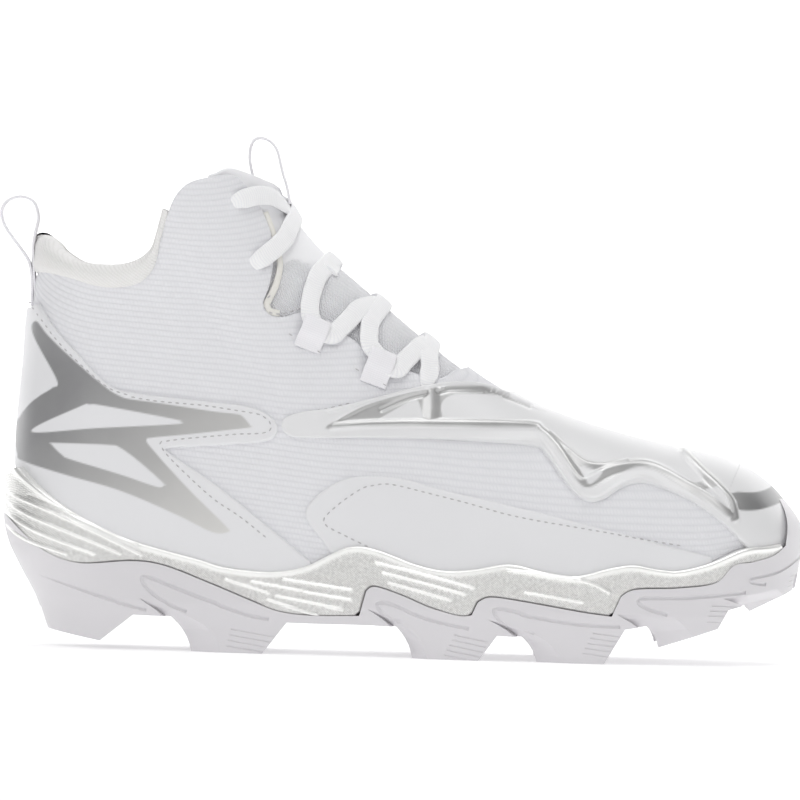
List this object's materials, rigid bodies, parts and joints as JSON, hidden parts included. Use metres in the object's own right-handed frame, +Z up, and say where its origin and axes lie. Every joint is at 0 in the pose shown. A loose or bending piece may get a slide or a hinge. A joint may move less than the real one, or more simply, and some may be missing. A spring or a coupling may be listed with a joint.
{
  "type": "baseball cleat",
  "caption": "Mid-top moulded cleat, right shoe: knit upper, padded collar, heel counter, toe cage, laces over a tongue, studded sole.",
  "frame": {"origin": "middle of the overall box, on the floor that the studs stand on", "axes": "+X to the toe, +Y to the inner side of the right foot, +Z up"},
  "size_m": [0.3058, 0.1004, 0.1952],
  "materials": {
    "tread_white": "moulded white tread and studs, satin",
    "cup_silver": "moulded cup with a silver metallic finish and fine knurl",
    "lining_knit": "pale knit sock liner",
    "upper_mesh": "white engineered mesh with a small cell pattern",
    "collar_knit": "soft off-white ribbed knit over padding",
    "tongue_knit": "white knit with a smooth top panel",
    "overlay_film": "smooth white synthetic overlay with stitched edges",
    "cage_film": "white moulded film with raised silver bands",
    "webbing": "woven pale strap",
    "lace_weave": "flat woven white lace"
  },
  "bodies": {
    "root": {"outsole": "tread_white", "midsole": "cup_silver", "insole": "lining_knit", "upper": "upper_mesh", "collar": "collar_knit", "tongue": "tongue_knit", "heel_counter": "overlay_film", "side_panel_lateral": "overlay_film", "side_panel_medial": "overlay_film", "toe_cage": "cage_film", "lace_loop_lateral_1": "webbing", "lace_loop_lateral_2": "webbing", "lace_loop_medial_1": "webbing", "lace_loop_medial_2": "webbing", "laces": "lace_weave", "heel_pull_loop": "webbing", "tongue_pull_loop": "webbing"}
  },
  "joints": []
}
